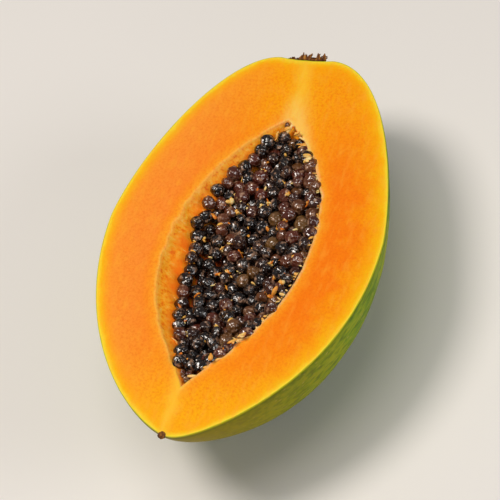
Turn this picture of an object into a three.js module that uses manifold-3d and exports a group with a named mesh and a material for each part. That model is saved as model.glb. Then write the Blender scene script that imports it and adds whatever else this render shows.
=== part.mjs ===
// Half of a ripe papaya, cut lengthwise through its stem and lying on its skin with the cut face up.
// Millimetres. +X points to the stem end and +Z up out of the cut face. The origin is on the resting
// surface, in the middle of the footprint. Shapes are worked out with the cut plane at z = 0 and
// the middle of the fruit's length at x = 0, and the finished group is then set down on the surface.

import * as THREE from "three";
import { mergeVertices } from "three/addons/utils/BufferGeometryUtils.js";
import Module from "manifold-3d";

const wasm = await Module();
wasm.setup();

// Driving dimensions of the fruit
const LENGTH = 180; // blossom tip to stem end
const RADIUS = 53.3; // half of the greatest width
const WIDEST = 0.526; // share of the length, from the tip, at which the fruit is widest
const TIP_BULGE = { power: 2.14, root: 0.716 }; // outline from the widest place to the tip
const STEM_BULGE = { power: 1.4, root: 0.526 }; // outline from the widest place to the stem end
const STEM_FACE = 0.206; // radius of the stem end's face as a share of RADIUS
const BASIN_DEPTH = 0.9; // dish of the stem end's face
const SWAY = 1.3; // how far the axis swings to -Y near the tip, and a little less to +Y near the stem
const SLANT = 6; // how far the fruit's axis sinks away from the cut over its whole length, towards the stem
const SLANT_LEVEL = 0.4; // share of the length, from the tip, at which the axis meets the cut
const RIDGE = 0.012; // height of the five low ridges as a share of the radius
const REST_CUT = 0.5; // depth by which the skin is pressed flat where the half rests
const CORE_SIDE = { tip: 3.4, stem: -2.2 }; // how far the cavity's own axis lies to +Y at the two ends
const LOBES = 5; // a papaya grows from five carpels, which show in its skin and its cavity

// Driving dimensions of the seed cavity
const CAVITY_MIDDLE = 0.4855; // share of the length, from the tip
const CAVITY_REACH = { tip: 65.5, stem: 61.3 }; // from the cavity's middle to each of its ends
const CAVITY_WIDTH = 27.2; // half of its greatest width
const CAVITY_DEPTH = 0.92; // its depth as a share of its half width
const FAR_SLOPE = 0.22; // steepness of its +Y wall, which slopes in gently from the rim
const CAVITY_TIP_BULGE = { power: 2.3, root: 1.3 }; // its outline from its middle to the tip
const CAVITY_STEM_BULGE = { power: 2.2, root: 0.9 }; // its outline from its middle to the stem end
const CAVITY_GROOVE = 0.05; // depth of its five grooves as a share of the half width
const GROOVE_START = 0.5; // angle below the rim, in radians, at which the grooves are full

// Driving dimensions of the seeds
const SEED = { long: 3.2, wide: 2.9, thick: 2.8 }; // half lengths of one seed in its jelly coat
const SEED_COUNT = 122;
const SEED_SPACING = 5.7;
// Least and most from a seed's middle to the -Y rim, the +Y rim, the cavity's stem end and its tip
const SEED_MARGIN = { near: [1.7, 3.4], far: [4.8, 11.5], stem: [4.5, 12], tip: [9, 20] };
const WALL_MARGIN = 2.4; // from a seed's middle to the wall under it
const BED_NEAR = -2.0; // depth of the seeds' middles under the cut plane, if the bed went on to the -Y rim
const BED_FAR = 3.6; // the same at the +Y rim
const BED_HOLLOW = 8.5; // how much deeper they lie in the middle of the cavity
const BED_TOP = 1.2; // least depth of a seed's middle
const BED_UNEVEN = 1.2; // how far single seeds stand out of the bed
const BED_SINK = 0.5; // from the seeds' middles down to the mass that holds them
const MASS_SHARE = 0.5; // least height of that mass's top, as a share of the cavity's depth there
const MASS_END = { full: 0.72, bare: 0.97 }; // shares across the cavity between which it ends on the +Y wall
const DRAW_SEED = 4127; // start of the random draws
const GAP = 0.3; // clearance between neighbouring pieces

// Driving dimensions of the dried remains at the two ends
const STUB = { radius: 5.4, height: 3.6, ragged: 0.9, side: -2.0 };
const SCAR = { radius: 1.5, sunk: 1.2, side: 3.4 };

const TAU = 2 * Math.PI;
const tipX = -LENGTH / 2;
const stemX = LENGTH / 2;

// Helpers between three.js geometry and solids

function solidOf(geometry) {
  const bare = geometry.clone();
  bare.deleteAttribute("normal");
  bare.deleteAttribute("uv");
  const merged = mergeVertices(bare, 1e-4);
  return new wasm.Manifold(
    new wasm.Mesh({
      numProp: 3,
      vertProperties: new Float32Array(merged.attributes.position.array),
      triVerts: new Uint32Array(merged.index.array),
    }),
  );
}

function geometryOf(solid) {
  const mesh = solid.getMesh();
  const geometry = new THREE.BufferGeometry();
  geometry.setAttribute("position", new THREE.BufferAttribute(mesh.vertProperties, 3));
  geometry.setIndex(new THREE.BufferAttribute(mesh.triVerts, 1));
  geometry.computeVertexNormals();
  return geometry;
}

function boxSolid(low, high) {
  const size = new THREE.Vector3().subVectors(high, low);
  const middle = new THREE.Vector3().addVectors(low, high).multiplyScalar(0.5);
  return solidOf(new THREE.BoxGeometry(size.x, size.y, size.z).translate(middle.x, middle.y, middle.z));
}

// A block round a place on the cut plane, for what the knife left below the plane
function underTheCut(x, y, reach) {
  const low = new THREE.Vector3(x - reach, y - reach, -reach);
  const high = new THREE.Vector3(x + reach, y + reach, 0);
  return boxSolid(low, high);
}

// A closed skin through equal rings of points, with one point closing each end. The rings run along +X
// and each ring turns from +Y towards +Z.
function closedRings(start, rings, end) {
  const sides = rings[0].length;
  const points = [start, ...rings.flat(), end];
  const at = (ring, side) => 1 + ring * sides + (side % sides);
  const last = points.length - 1;
  const faces = [];
  for (let side = 0; side < sides; side++) {
    faces.push(0, at(0, side + 1), at(0, side));
    faces.push(last, at(rings.length - 1, side), at(rings.length - 1, side + 1));
    for (let ring = 0; ring < rings.length - 1; ring++) {
      const [a, b] = [at(ring, side), at(ring, side + 1)];
      const [c, d] = [at(ring + 1, side), at(ring + 1, side + 1)];
      faces.push(a, b, d, a, d, c);
    }
  }
  const geometry = new THREE.BufferGeometry().setFromPoints(points);
  geometry.setIndex(faces);
  return geometry;
}

function ringAt(x, sides, reach) {
  return Array.from({ length: sides }, (_, side) => {
    const angle = (TAU * side) / sides;
    const [y, z] = reach(angle);
    return new THREE.Vector3(x, y, z);
  });
}

// Shares from 0 to 1 that lie closer together towards both ends
function crowdedShares(count) {
  return Array.from({ length: count }, (_, i) => (1 - Math.cos((Math.PI * (i + 1)) / (count + 1))) / 2);
}

// The fruit

function fruitRadius(share) {
  if (share < WIDEST) {
    const s = (WIDEST - share) / WIDEST;
    return RADIUS * (1 - s ** TIP_BULGE.power) ** TIP_BULGE.root;
  }
  const s = (share - WIDEST) / (1 - WIDEST);
  const bulge = Math.max(0, 1 - s ** STEM_BULGE.power) ** STEM_BULGE.root;
  return RADIUS * (STEM_FACE + (1 - STEM_FACE) * bulge);
}

// Where the fruit's own axis lies, as distances along Y and Z from the middle of the cut
function axisAt(share) {
  return [-SWAY * Math.sin(TAU * share) * Math.sqrt(1 - share), -SLANT * (share - SLANT_LEVEL)];
}

function ridgeFactor(angle, share) {
  const strength = RIDGE * Math.sin(Math.PI * share) ** 0.5;
  return 1 - strength * Math.cos(LOBES * (angle + Math.PI / 2));
}

function fruitSolid() {
  const stations = 44;
  const sides = 60;
  const basinShares = [1, 0.7, 0.35];
  const rings = crowdedShares(stations).map((share) =>
    ringAt(tipX + share * LENGTH, sides, (angle) => {
      const r = fruitRadius(share) * ridgeFactor(angle, share);
      const [y, z] = axisAt(share);
      return [y + r * Math.cos(angle), z + r * Math.sin(angle)];
    }),
  );
  const face = RADIUS * STEM_FACE;
  const dish = (share) => stemX - BASIN_DEPTH * (1 - share ** 2);
  const [endY, endZ] = axisAt(1);
  for (const share of basinShares)
    rings.push(
      ringAt(dish(share), sides, (angle) => [
        endY + face * share * Math.cos(angle),
        endZ + face * share * Math.sin(angle),
      ]),
    );
  const tip = new THREE.Vector3(tipX, ...axisAt(0));
  return solidOf(closedRings(tip, rings, new THREE.Vector3(dish(0), endY, endZ)));
}

// The seed cavity, as a solid to cut away, made smaller all round by the clearance asked for

const CAVITY_SIDES = 20;
const CAVITY_STATIONS = 26;
const SEED_MASS_STATIONS = 20;
const CAVITY_NARROW = 14; // half width under which the seeds come closer to its +Y rim

// A place along the cavity, from -1 at its end at the tip to 1 at its end at the stem
function cavityX(share) {
  return tipX + CAVITY_MIDDLE * LENGTH + share * (share < 0 ? CAVITY_REACH.tip : CAVITY_REACH.stem);
}

function axisY(x) {
  return CORE_SIDE.tip + ((CORE_SIDE.stem - CORE_SIDE.tip) * (x - tipX)) / LENGTH;
}

function cavityHalfWidth(x) {
  const fromMiddle = x - cavityX(0);
  const bulge = fromMiddle < 0 ? CAVITY_TIP_BULGE : CAVITY_STEM_BULGE;
  const s = Math.abs(fromMiddle) / (fromMiddle < 0 ? CAVITY_REACH.tip : CAVITY_REACH.stem);
  return s < 1 ? CAVITY_WIDTH * (1 - s ** bulge.power) ** bulge.root : 0;
}

// How far a place lies across the cavity, from -1 at the -Y rim to 1 at the +Y rim
function shareAcross(x, y) {
  const w = Math.max(0.01, cavityHalfWidth(x));
  return Math.max(-1, Math.min(1, (y - axisY(x)) / w));
}

// Depth of the wall, as a share of the half width, at a share across the cavity
function wallDepth(across) {
  const inside = 1 - across ** 2;
  if (across > 0) return FAR_SLOPE * inside + (CAVITY_DEPTH - FAR_SLOPE) * inside ** 2;
  return CAVITY_DEPTH * Math.sqrt(Math.max(0, inside));
}

function cavityFloor(x, y) {
  return cavityHalfWidth(x) * wallDepth(shareAcross(x, y));
}

function cavitySolid(clearance, stations) {
  const [low, high] = [cavityX(-1) + 3 * clearance, cavityX(1) - 3 * clearance];
  const rings = crowdedShares(stations).map((share) => {
    const x = low + share * (high - low);
    const w = Math.max(0.15, cavityHalfWidth(x) - clearance);
    return ringAt(x, CAVITY_SIDES, (angle) => {
      const fromRim = Math.asin(Math.abs(Math.sin(angle)));
      const start = Math.min(1, fromRim / GROOVE_START) ** 2;
      const half = w * (1 + CAVITY_GROOVE * start * Math.cos(LOBES * (angle + Math.PI / 2)));
      const across = Math.cos(angle);
      const below = angle > Math.PI;
      return [axisY(x) + half * across, below ? -half * wallDepth(across) : w * Math.sin(angle)];
    });
  });
  const start = new THREE.Vector3(low, axisY(low), 0);
  const end = new THREE.Vector3(high, axisY(high), 0);
  return solidOf(closedRings(start, rings, end));
}

function scarBall(radius) {
  return solidOf(ballGeometry(radius, 8, 6).translate(tipX + SCAR.sunk, SCAR.side, 0));
}

function fruitHalf() {
  const belly = RADIUS * (1 - RIDGE) - axisAt(WIDEST)[1];
  const keep = boxSolid(
    new THREE.Vector3(tipX - 1, -RADIUS * 1.1, -belly + REST_CUT),
    new THREE.Vector3(stemX + 1, RADIUS * 1.1, 0),
  );
  const dimple = scarBall(SCAR.radius + GAP);
  return fruitSolid().intersect(keep).subtract(cavitySolid(0, CAVITY_STATIONS)).subtract(dimple);
}

// The seeds, drawn at random and then pushed apart until they lie side by side

function makeDraws(start) {
  let state = start;
  return () => {
    state = (state * 1664525 + 1013904223) % 4294967296;
    return state / 4294967296;
  };
}

// Depth under the cut plane of the bed that the seeds' middles lie in
function bedDepth(x, y) {
  const across = shareAcross(x, y);
  const hollow = BED_HOLLOW * (cavityHalfWidth(x) / CAVITY_WIDTH) * (1 - across ** 2);
  return Math.max(BED_TOP, BED_NEAR + ((BED_FAR - BED_NEAR) * (across + 1)) / 2 + hollow);
}

function clamp(value, low, high) {
  return Math.max(low, Math.min(high, value));
}

function keepInside(seed) {
  seed.x = clamp(seed.x, cavityX(-1) + seed.margin.tip, cavityX(1) - seed.margin.stem);
  const w = cavityHalfWidth(seed.x);
  const narrow = clamp(w / CAVITY_NARROW, 0.3, 1);
  const near = Math.min(0, seed.margin.near - w);
  const far = Math.max(0, w - seed.margin.far * narrow);
  seed.y = axisY(seed.x) + clamp(seed.y - axisY(seed.x), near, far);
  const bed = Math.max(BED_TOP, bedDepth(seed.x, seed.y) - seed.uneven);
  seed.z = -Math.min(bed, cavityFloor(seed.x, seed.y) - WALL_MARGIN);
}

function seedPlaces() {
  const draw = makeDraws(DRAW_SEED);
  const between = ([low, high]) => low + (high - low) * draw();
  const seeds = Array.from({ length: SEED_COUNT }, () => {
    const seed = {
      x: cavityX(2 * draw() - 1),
      y: (2 * draw() - 1) * CAVITY_WIDTH,
      uneven: draw() * BED_UNEVEN,
      turn: [draw() * TAU, draw() * TAU, draw() * TAU],
      size: 0.9 + 0.2 * draw(),
      margin: Object.fromEntries(Object.entries(SEED_MARGIN).map(([side, range]) => [side, between(range)])),
    };
    keepInside(seed);
    return seed;
  });
  const rounds = 150;
  for (let round = 0; round < rounds; round++) {
    const spacing = SEED_SPACING * (1 + 0.5 * (1 - round / rounds));
    for (let i = 0; i < seeds.length; i++)
      for (let j = i + 1; j < seeds.length; j++) pushApart(seeds[i], seeds[j], spacing);
  }
  return seeds;
}

function pushApart(a, b, spacing) {
  const away = new THREE.Vector3(b.x - a.x, b.y - a.y, b.z - a.z);
  const distance = away.length();
  if (distance >= spacing) return;
  const flat = Math.max(0.05, Math.hypot(away.x, away.y));
  const step = (0.25 * (spacing - distance)) / flat;
  a.x -= away.x * step;
  a.y -= away.y * step;
  b.x += away.x * step;
  b.y += away.y * step;
  keepInside(a);
  keepInside(b);
}

function ballGeometry(radius, sides, bands) {
  const rings = [];
  for (let band = 1; band < bands; band++) {
    const angle = (Math.PI * band) / bands;
    const r = radius * Math.sin(angle);
    rings.push(ringAt(-radius * Math.cos(angle), sides, (turn) => [r * Math.cos(turn), r * Math.sin(turn)]));
  }
  return closedRings(new THREE.Vector3(-radius, 0, 0), rings, new THREE.Vector3(radius, 0, 0));
}

function seedSolid(seed) {
  const sides = 7;
  const bands = 5;
  const geometry = ballGeometry(1, sides, bands);
  const place = new THREE.Matrix4().compose(
    new THREE.Vector3(seed.x, seed.y, seed.z),
    new THREE.Quaternion().setFromEuler(new THREE.Euler(...seed.turn)),
    new THREE.Vector3(SEED.long, SEED.wide, SEED.thick).multiplyScalar(seed.size),
  );
  return solidOf(geometry.applyMatrix4(place));
}

// Height of the mass in which the seeds are sunk: it covers the floor under them and ends on the +Y wall
function massTop(x, y) {
  const across = clamp((shareAcross(x, y) - MASS_END.full) / (MASS_END.bare - MASS_END.full), 0, 1);
  const cover = MASS_SHARE + (1.1 - MASS_SHARE) * across;
  return -Math.min(bedDepth(x, y) + BED_SINK, cover * cavityFloor(x, y));
}

// Everything over that mass
function overTheBed() {
  const stations = 20;
  const sides = 24;
  const top = CAVITY_WIDTH + 3;
  const [low, high] = [cavityX(-1) - 1, cavityX(1) + 1];
  const rings = Array.from({ length: stations + 1 }, (_, i) => {
    const x = low + (i / stations) * (high - low);
    return ringAt(x, sides, (angle) => {
      const y = axisY(x) + (cavityHalfWidth(x) + 2) * Math.cos(angle);
      const above = Math.sin(angle) > 1e-6;
      return [y, above ? top : massTop(x, y)];
    });
  });
  const start = new THREE.Vector3(low, 0, top / 2);
  const end = new THREE.Vector3(high, 0, top / 2);
  return solidOf(closedRings(start, rings, end));
}

function seedMass() {
  const inside = cavitySolid(1.5 * GAP, SEED_MASS_STATIONS);
  const core = inside.subtract(overTheBed());
  const joined = seedPlaces().reduce((mass, seed) => mass.add(seedSolid(seed)), core);
  return joined.intersect(inside);
}

// The dried stub of the stem, sheared off ragged and halved by the cut

function stemStub() {
  const sides = 22;
  const base = stemX - BASIN_DEPTH * (1 - (STUB.radius / (RADIUS * STEM_FACE)) ** 2) + GAP;
  const tear = (angle) => STUB.ragged * (0.6 * Math.sin(3 * angle + 1) + 0.4 * Math.sin(7 * angle));
  const levels = [
    { height: 0, reach: 1.0, torn: 0 },
    { height: 0.35, reach: 0.86, torn: 0.1 },
    { height: 0.75, reach: 0.94, torn: 0.5 },
    { height: 1.0, reach: 0.8, torn: 1 },
    { height: 0.7, reach: 0.4, torn: 0.4 },
  ];
  const rings = levels.map((level) =>
    ringAt(0, sides, (angle) => {
      const r = STUB.radius * level.reach + 0.5 * level.torn * tear(2 * angle);
      return [r * Math.cos(angle), r * Math.sin(angle)];
    }).map((point, side) => {
      const angle = (TAU * side) / sides;
      point.x = base + STUB.height * level.height + level.torn * tear(angle);
      return point;
    }),
  );
  const hollow = new THREE.Vector3(base + STUB.height * 0.6, 0, 0);
  const whole = solidOf(closedRings(new THREE.Vector3(base, 0, 0), rings, hollow).translate(0, STUB.side, 0));
  return whole.intersect(underTheCut(stemX, STUB.side, 2 * STUB.radius));
}

// The scar that the flower left at the tip, halved by the cut
function blossomScar() {
  return scarBall(SCAR.radius).intersect(underTheCut(tipX, SCAR.side, 2 * SCAR.radius));
}

// The group, set down on the resting surface

function piece(name, solid, color, roughness) {
  const material = new THREE.MeshStandardMaterial({ color, roughness, metalness: 0 });
  const mesh = new THREE.Mesh(geometryOf(solid), material);
  mesh.name = name;
  return mesh;
}

const papaya = new THREE.Group();
papaya.add(piece("fruit_half", fruitHalf(), 0xf98a1c, 0.45));
papaya.add(piece("seeds", seedMass(), 0x2a1a14, 0.25));
papaya.add(piece("stem_stub", stemStub(), 0x6e4a22, 0.9));
papaya.add(piece("blossom_scar", blossomScar(), 0x4a2f18, 0.9));

const bounds = new THREE.Box3().setFromObject(papaya);
const footprint = bounds.getCenter(new THREE.Vector3());
papaya.position.set(-footprint.x, -footprint.y, -bounds.min.z);

export default papaya;
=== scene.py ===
import math
import random

import bpy
import numpy as np
from mathutils import Euler, Matrix, Vector, noise


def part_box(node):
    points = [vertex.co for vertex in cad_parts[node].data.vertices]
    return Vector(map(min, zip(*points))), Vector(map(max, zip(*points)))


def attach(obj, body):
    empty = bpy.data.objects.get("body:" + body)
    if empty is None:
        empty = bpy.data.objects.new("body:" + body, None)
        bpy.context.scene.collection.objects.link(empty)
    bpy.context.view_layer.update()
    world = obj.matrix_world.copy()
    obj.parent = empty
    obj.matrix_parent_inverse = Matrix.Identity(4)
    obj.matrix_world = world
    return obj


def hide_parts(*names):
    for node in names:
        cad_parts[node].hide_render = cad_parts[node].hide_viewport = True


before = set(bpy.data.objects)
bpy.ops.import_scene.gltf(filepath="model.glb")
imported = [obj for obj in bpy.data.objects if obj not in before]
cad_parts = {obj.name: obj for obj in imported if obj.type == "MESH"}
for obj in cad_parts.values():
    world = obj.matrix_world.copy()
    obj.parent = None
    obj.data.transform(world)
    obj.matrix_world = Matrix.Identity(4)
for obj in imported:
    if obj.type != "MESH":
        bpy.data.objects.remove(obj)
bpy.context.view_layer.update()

# The fruit half: flesh and skin grown as one, cut lengthwise with a kitchen knife and laid on its skin.
# It is wrapped from one sheet, whose rows run from the floor of the seed cavity up to the rim,
# across the cut face and down the skin to the belly, and whose columns run round the fruit.

MM = 0.001
LENGTH = 180 * MM
half_low, half_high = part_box("fruit_half")
CUT_Z = half_high.z
STEM_X = half_high.x
TIP_X = STEM_X - LENGTH
RADIUS = (half_high.y - half_low.y) / 2

WIDEST = 0.526  # share of the length, from the tip, at which the fruit is widest
TIP_BULGE = (2.14, 0.716)  # power and root of the outline between there and the tip
STEM_BULGE = (1.4, 0.526)  # the same between there and the stem end
STEM_FACE = 0.206  # radius of the stem end's flat face, as a share of the widest one
BASIN_DEPTH = 0.9 * MM  # how far that face is dished
SWAY = 1.3 * MM  # how far the fruit's axis swings sideways
SLANT = 6 * MM  # how far the axis sinks away from the cut over the whole length
SLANT_LEVEL = 0.4  # share of the length at which the axis meets the cut
RIDGE = 0.012  # height of the five low ridges, as a share of the radius
LOBES = 5  # carpels of a papaya, which show as ridges outside and grooves inside

CAVITY_MIDDLE = TIP_X + 0.4855 * LENGTH
REACH_TIP = 65.5 * MM  # from the cavity's middle to its end at the tip
REACH_STEM = 61.3 * MM  # and to its end at the stem
CAVITY_WIDTH = 27.2 * MM
CAVITY_DEPTH = 0.92  # depth of the cavity as a share of its half width
FAR_SLOPE = 0.22  # steepness of the +Y wall, which slopes in gently from the rim
BULGE_TIP = (2.3, 1.3)  # power and root of the cavity's outline from its middle to the tip
BULGE_STEM = (2.2, 0.9)  # the same to the stem
CAVITY_GROOVE = 0.05  # depth of the grooves between the carpels, as a share of the half width
GROOVE_START = 0.5  # angle below the rim at which the grooves are full
CORE_TIP_Y = 3.4 * MM  # the cavity's own axis lies to +Y at the tip
CORE_STEM_Y = -2.2 * MM  # and to -Y at the stem

FACE_STEPS = 10  # columns from the middle of the stem end's face to its edge, on one side
SIDE_STEPS = 190  # columns from that edge to the tip, on one side
CAVITY_ROWS = 24
SKIN_ROWS = 44
CUT_ROWS = 26
RIM_INSETS = (0.35 * MM, 0.8 * MM, 1.5 * MM, 2.4 * MM)  # rows that follow the rim closely
EDGE_INSETS = (2.2 * MM, 1.4 * MM, 0.8 * MM, 0.45 * MM, 0.2 * MM)  # rows that follow the skin closely
WORN_EDGE = 0.07 * MM  # how far the knife's edge on the skin is rounded off
WORN_RIM = 0.35 * MM  # how far the soft rim of the cavity has sagged
RIM_SHAKE = 1.3 * MM  # how far the rim wanders to either side
RIM_WAVE = 5 * MM  # length of one such bend
RIM_FADE = 2 * MM  # half width of the cavity below which the rim sags less
FAR_INSIDE = 30.0  # distance in millimetres that stands for any place far from the cut's edges
WALL_LUMP = (5 * MM, 0.05)  # size of the soft lumps in the wall, and their height as a share
WALL_EVEN = 6 * MM  # depth at which they are full
SKIN_LUMP = (22 * MM, 0.006)  # the same for the skin
SKIN_EVEN = 8 * MM
DRAG_MARK = (3 * MM, 0.06 * MM)  # width and height of the marks that the knife dragged
DRAG_EVEN = 2  # millimetres along the cut's edges that stay level
CROSSWISE = np.array([0, 1, 1])


def outline_radius(share):
    towards_tip = np.clip((WIDEST - share) / WIDEST, 0, 1)
    towards_stem = np.clip((share - WIDEST) / (1 - WIDEST), 0, 1)
    tip_side = (1 - towards_tip ** TIP_BULGE[0]) ** TIP_BULGE[1]
    stem_side = STEM_FACE + (1 - STEM_FACE) * (1 - towards_stem ** STEM_BULGE[0]) ** STEM_BULGE[1]
    return RADIUS * np.where(share < WIDEST, tip_side, stem_side)


def axis_at(share):
    """Distances along Y and Z from the middle of the cut to the fruit's own axis."""
    sideways = -SWAY * np.sin(2 * np.pi * share) * np.sqrt(1 - share)
    return sideways, -SLANT * (share - SLANT_LEVEL)


def core_y(x):
    return CORE_TIP_Y + (CORE_STEM_Y - CORE_TIP_Y) * (x - TIP_X) / LENGTH


def cavity_x(share):
    """A place along the cavity, from -1 at its end at the tip to 1 at its end at the stem."""
    return CAVITY_MIDDLE + share * np.where(share < 0, REACH_TIP, REACH_STEM)


def cavity_half_width(x):
    to_tip = np.clip((CAVITY_MIDDLE - x) / REACH_TIP, 0, 1)
    to_stem = np.clip((x - CAVITY_MIDDLE) / REACH_STEM, 0, 1)
    tip_side = (1 - to_tip ** BULGE_TIP[0]) ** BULGE_TIP[1]
    stem_side = (1 - to_stem ** BULGE_STEM[0]) ** BULGE_STEM[1]
    return CAVITY_WIDTH * np.where(x < CAVITY_MIDDLE, tip_side, stem_side)


def first_share():
    """The share of the length at which the tip comes out of the cut plane."""
    shares = np.linspace(0, 0.05, 2001)
    return shares[np.argmax(outline_radius(shares) > axis_at(shares)[1])]


def skin_row(down):
    """One row of the skin, from the stem end to the tip and back; down is 0 at the cut and 1 at the keel."""
    lowest = first_share()
    steps = np.arange(SIDE_STEPS + 1)
    share = lowest + (1 - lowest) * (1 + np.cos(np.pi * steps / SIDE_STEPS)) / 2
    radius = outline_radius(share)
    across, below = axis_at(share)
    ridge = RIDGE * np.sqrt(np.sin(np.pi * share).clip(0))
    start = np.arcsin(np.clip(below / radius, -1, 1))
    for _ in range(4):
        start = np.arcsin(np.clip(below / (radius * (1 - ridge * np.sin(LOBES * start))), -1, 1))
    angle = start + (np.pi / 2 - start) * down
    reach = radius * (1 - ridge * np.sin(LOBES * angle))
    x = TIP_X + share * LENGTH
    out = reach * np.cos(angle)
    z = np.minimum(0, below - reach * np.sin(angle))
    share_in = 1 - np.arange(FACE_STEPS) / FACE_STEPS
    face_out = out[0] * (1 - share_in)
    face_z = z[0] * (1 - share_in)
    from_axis = (face_out ** 2 + (face_z - below[0]) ** 2) / radius[0] ** 2
    face_x = STEM_X - BASIN_DEPTH * (1 - from_axis)
    x = np.concatenate([face_x, x])
    out = np.concatenate([face_out, out])
    z = np.concatenate([face_z, z])
    across = np.concatenate([np.full(FACE_STEPS, across[0]), across])
    return both_sides(x, across, out, z)


def both_sides(x, middle, out, z, far_z=None):
    """A closed row: down the -Y side from the stem to the tip, and back up the +Y side."""
    there = np.stack([x, middle - out, z], 1)
    back = np.stack([x, middle + out, z if far_z is None else far_z], 1)[-2:0:-1]
    return np.concatenate([there, back, there[:1]])


def wall_depth(share, far):
    """Depth of the cavity at a share of its half width, out of that half width."""
    inside = 1 - np.clip(share, 0, 1) ** 2
    sloped = FAR_SLOPE * inside + (CAVITY_DEPTH - FAR_SLOPE) * inside ** 2
    return np.where(far, sloped, CAVITY_DEPTH * np.sqrt(inside))


def cavity_row(angle):
    """One row of the cavity's wall; angle is 0 at the rim and a quarter turn at the floor."""
    steps = np.arange(FACE_STEPS + SIDE_STEPS + 1)
    x = cavity_x(np.cos(np.pi * steps / steps[-1]))
    groove = CAVITY_GROOVE * math.sin(LOBES * angle) * min(1, angle / GROOVE_START) ** 2
    half = cavity_half_width(x) * (1 + groove)
    near_z, far_z = (-half * wall_depth(math.cos(angle), far) for far in (False, True))
    row = both_sides(x, core_y(x), half * math.cos(angle), near_z, far_z)
    side = np.sign(row[:, 1] - core_y(row[:, 0]))
    shake = [noise.noise(Vector((at, turn * RIM_WAVE, 0)) / RIM_WAVE) for at, turn in zip(row[:, 0], side)]
    narrow = np.clip(cavity_half_width(row[:, 0]) / RIM_WAVE, 0, 1)
    row[:, 1] += RIM_SHAKE * math.cos(angle) * np.array(shake) * narrow
    return row


def distance_to(line, points):
    """Shortest distance from each point to a closed row, seen from above."""
    flat = points[:, None, :2] - line[None, :, :2]
    return np.sqrt((flat ** 2).sum(2)).min(1)


def lowered(row, depth):
    """The row sunk by depth, and by less where the cavity narrows to its ends."""
    narrow = np.clip(cavity_half_width(row[:, 0]) / RIM_FADE, 0, 1)
    return row - np.stack([0 * narrow, 0 * narrow, depth * narrow], 1)


rim = cavity_row(0)
outline = skin_row(0)
span = outline - rim
width = np.linalg.norm(span, axis=1)[:, None]
inwards = span / width

cavity_angles = np.linspace(math.pi / 2, 0, CAVITY_ROWS, endpoint=False)
rows = [lowered(cavity_row(angle), WORN_RIM) for angle in cavity_angles]
rows.append(lowered(rim, 0.8 * WORN_RIM))
cut_start = len(rows)
rows.append(lowered(rim + inwards * RIM_INSETS[0], 0.3 * WORN_RIM))
rows += [rim + inwards * inset for inset in RIM_INSETS[1:]]
first, last = RIM_INSETS[-1], width - EDGE_INSETS[0]
rows += [rim + inwards * (first + (last - first) * k / CUT_ROWS) for k in range(1, CUT_ROWS)]
rows += [outline - inwards * inset for inset in EDGE_INSETS]
cut_end = len(rows)
rows.append(outline - inwards * WORN_EDGE - np.array([0, 0, WORN_EDGE]))
rows += [skin_row(down) for down in np.linspace(0, 1, SKIN_ROWS + 1)[1:]]
sheet = np.stack(rows)
row_count = len(sheet)

# Distances in millimetres, which the flesh takes its colours from
under_skin = np.full(sheet.shape[:2], FAR_INSIDE)
over_rim = np.full(sheet.shape[:2], FAR_INSIDE)
streak = np.zeros(sheet.shape[:2])
halo = np.zeros(sheet.shape[:2])
under_skin[cut_end:] = 0
for row in range(cut_start, cut_end):
    under_skin[row] = distance_to(outline, sheet[row]) / MM
    over_rim[row] = distance_to(rim, sheet[row]) / MM
for row in range(cut_start):
    over_rim[row] = sheet[row, :, 2] / MM

# The pale strands of vessels: points along each in millimetres from the tip and the middle of the cut,
# with the half width in millimetres there
STRANDS = (
    ((177, 0.0, 3.0), (166, -2.2, 3.2), (152, -3.4, 4.6), (145, -7.5, 3.2), (134, -12.6, 2.4),
     (122, -17.5, 1.4)),
    ((158, -1.6, 2.4), (151, -2.0, 3.4)),
    ((36, 8.0, 2.0), (28, 4.6, 2.9), (20, 3.6, 3.3), (12, 3.7, 2.8), (2.5, 3.7, 1.8)),
)
HALO = 3.4  # how much wider the yellow round a strand is than the strand


def strand_strength(strand, points, spread=1.0):
    """How much of the pale strand shows at each point, from 0 to 1."""
    knots = np.array(strand) * MM
    knots[:, 0] += TIP_X
    along = np.linspace(0, len(strand) - 1, 90)
    line = np.stack([np.interp(along, range(len(strand)), knots[:, k]) for k in range(3)], 1)
    away = np.sqrt(((points[:, None, :2] - line[None, :, :2]) ** 2).sum(2)) / line[None, :, 2]
    return np.exp(-((away.min(1) / spread) ** 2))


for row in range(cut_start, cut_end):
    for strand in STRANDS:
        streak[row] = np.maximum(streak[row], strand_strength(strand, sheet[row]))
        halo[row] = np.maximum(halo[row], strand_strength(strand, sheet[row], HALO))


def lumps(points, size, height):
    """Smooth random heights, about one lump to every size."""
    return np.array([height * noise.noise(Vector(p) / size) for p in points])


# Uneven growth: soft lumps in the wall of the cavity, shallow ones in the skin, and drag marks on the cut
middle_line = np.stack([0 * rim[:, 0], core_y(rim[:, 0]), 0 * rim[:, 0]], 1)
for row in range(cut_start - 1):
    towards = middle_line - sheet[row] * CROSSWISE
    deep = np.clip(-sheet[row, :, 2] / WALL_EVEN, 0, 1)[:, None]
    push = lumps(sheet[row], *WALL_LUMP)[:, None] * deep
    sheet[row] += towards * push
for row in range(cut_start, cut_end):
    even = np.clip(np.minimum(under_skin[row], over_rim[row]) / DRAG_EVEN, 0, 1)
    marks = lumps(sheet[row] * np.array([0.4, 1, 1]), *DRAG_MARK)
    sheet[row, :, 2] -= even * (DRAG_MARK[1] + marks)
skin_axis_z = np.interp(sheet[0, :, 0], (TIP_X, STEM_X), (SLANT * SLANT_LEVEL, SLANT * (SLANT_LEVEL - 1)))
for row in range(cut_end + 1, row_count):
    radial = sheet[row] * CROSSWISE - np.stack([0 * skin_axis_z, 0 * skin_axis_z, skin_axis_z], 1)
    deep = np.clip(-sheet[row, :, 2] / SKIN_EVEN, 0, 1)[:, None]
    sheet[row] += radial * lumps(sheet[row], *SKIN_LUMP)[:, None] * deep
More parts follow.
